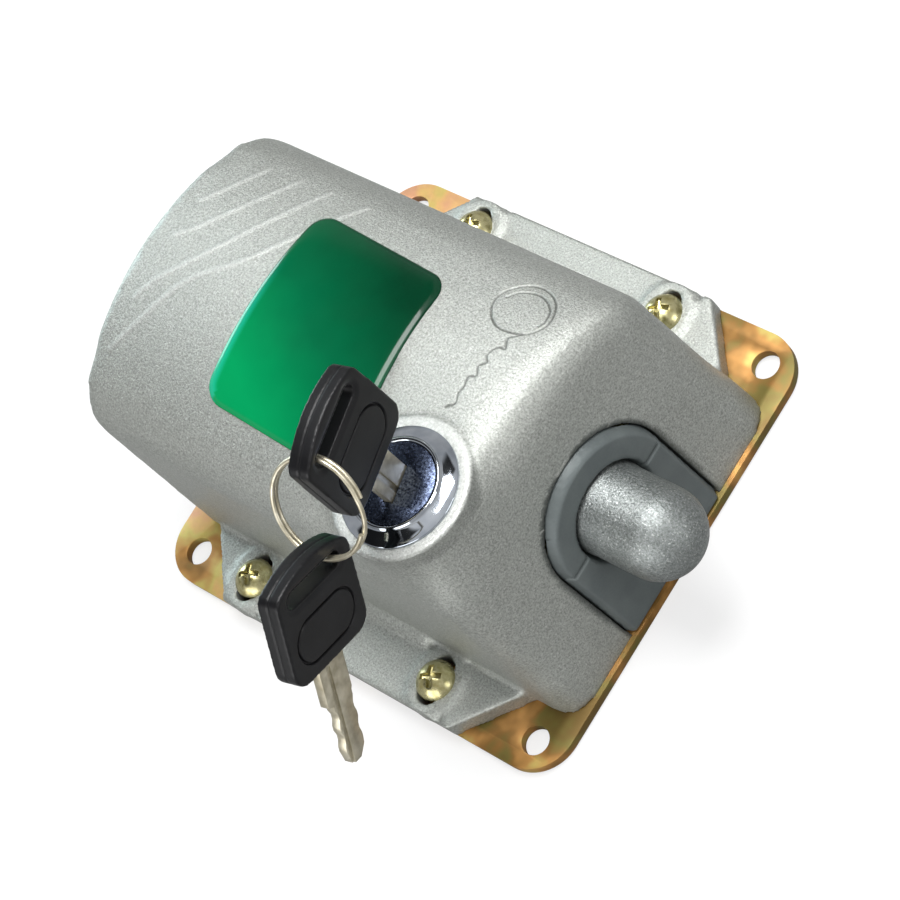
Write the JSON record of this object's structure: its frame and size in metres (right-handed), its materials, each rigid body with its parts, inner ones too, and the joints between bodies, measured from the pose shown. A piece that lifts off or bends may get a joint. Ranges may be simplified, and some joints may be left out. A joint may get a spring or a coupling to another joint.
{
  "type": "electric gate lock",
  "caption": "Electric gate lock: vaulted cast cover on a flat mounting plate, sprung round-nosed bolt, solenoid inside, key cylinder on top with keys on a split ring.",
  "frame": {"origin": "centre of the four mounting holes, on the back face of the base plate", "axes": "+X the way the bolt is thrown, +Y across, away from the key cylinder, +Z away from the mounting surface"},
  "size_m": [0.1478, 0.1354, 0.109],
  "materials": {
    "cover": "silver hammertone paint",
    "yellow_zinc": "iridescent yellow passivated zinc",
    "bright_zinc": "bright zinc",
    "guide": "dark grey, satin",
    "bolt_steel": "satin",
    "spring_steel": "polished wire",
    "chrome": "polished, slightly blue",
    "brass": "machined",
    "nickel": "nickel plated",
    "key_plastic": "fine moulded texture",
    "label": "clear domed gel over green",
    "rubber": "matt",
    "bobbin": "moulded nylon",
    "copper": "enamelled copper wire",
    "tape": "yellow insulating tape",
    "block": "moulded nylon",
    "lead_skin": "red insulated wire"
  },
  "bodies": {
    "case": {"base_plate": "yellow_zinc", "housing": "cover", "housing_screws": "yellow_zinc", "bolt_guide_lower": "guide", "bolt_guide_upper": "guide", "guide_screws": "yellow_zinc", "guide_cap_screws": "yellow_zinc", "bolt_spring": "spring_steel", "solenoid_yoke": "bright_zinc", "solenoid_core": "bright_zinc", "bobbin": "bobbin", "coil_winding": "copper", "coil_tape": "tape", "solenoid_screws": "yellow_zinc", "plunger_bumper": "rubber", "lock_barrel": "brass", "lock_bezel": "chrome", "barrel_nut": "bright_zinc", "label": "label", "cable_grommet": "rubber", "terminal_block": "block", "terminal_screws": "bright_zinc", "terminal_mount_screws": "yellow_zinc", "coil_leads": "lead_skin"},
    "bolt_assembly": {"bolt": "bolt_steel", "plunger": "bolt_steel", "plunger_pin": "spring_steel"},
    "plug_assembly": {"lock_plug": "chrome", "lock_wafers": "brass", "lock_cam": "bright_zinc", "cam_screw": "yellow_zinc"},
    "key_1": {"key_1_blade": "nickel", "key_1_head": "key_plastic"},
    "ring": {"key_ring": "nickel"},
    "key_2": {"key_2_blade": "nickel", "key_2_head": "key_plastic"}
  },
  "joints": [
    {"name": "bolt_slide", "type": "slide", "parent": "case", "child": "bolt_assembly", "axis": [1, 0, 0], "range_m": [-0.022, 0], "stiffness_N_per_m": 500, "springref_m": 0.012, "deforming": ["bolt_spring"]},
    {"name": "key_turn", "type": "hinge", "parent": "case", "child": "plug_assembly", "pos_m": [0.0373, -0.0227, 0.07165], "axis": [0, 0, 1], "range_deg": [0, 90]},
    {"name": "key_withdraw", "type": "slide", "parent": "plug_assembly", "child": "key_1", "axis": [0, 0, 1], "range_m": [0, 0.019]},
    {"name": "ring_swing", "type": "hinge", "parent": "key_1", "child": "ring", "pos_m": [0.03894, -0.02981, 0.1035], "axis": [0.9744, 0.225, 0], "range_deg": [-60, 5]},
    {"name": "key_2_swing", "type": "hinge", "parent": "ring", "child": "key_2", "pos_m": [0.04244, -0.04496, 0.08682], "axis": [0.9744, 0.225, 0], "range_deg": [-45, 20]}
  ],
  "couplings": [
    {"joint": "key_turn", "follows": "bolt_slide", "rad_per_m": -71.4}
  ]
}
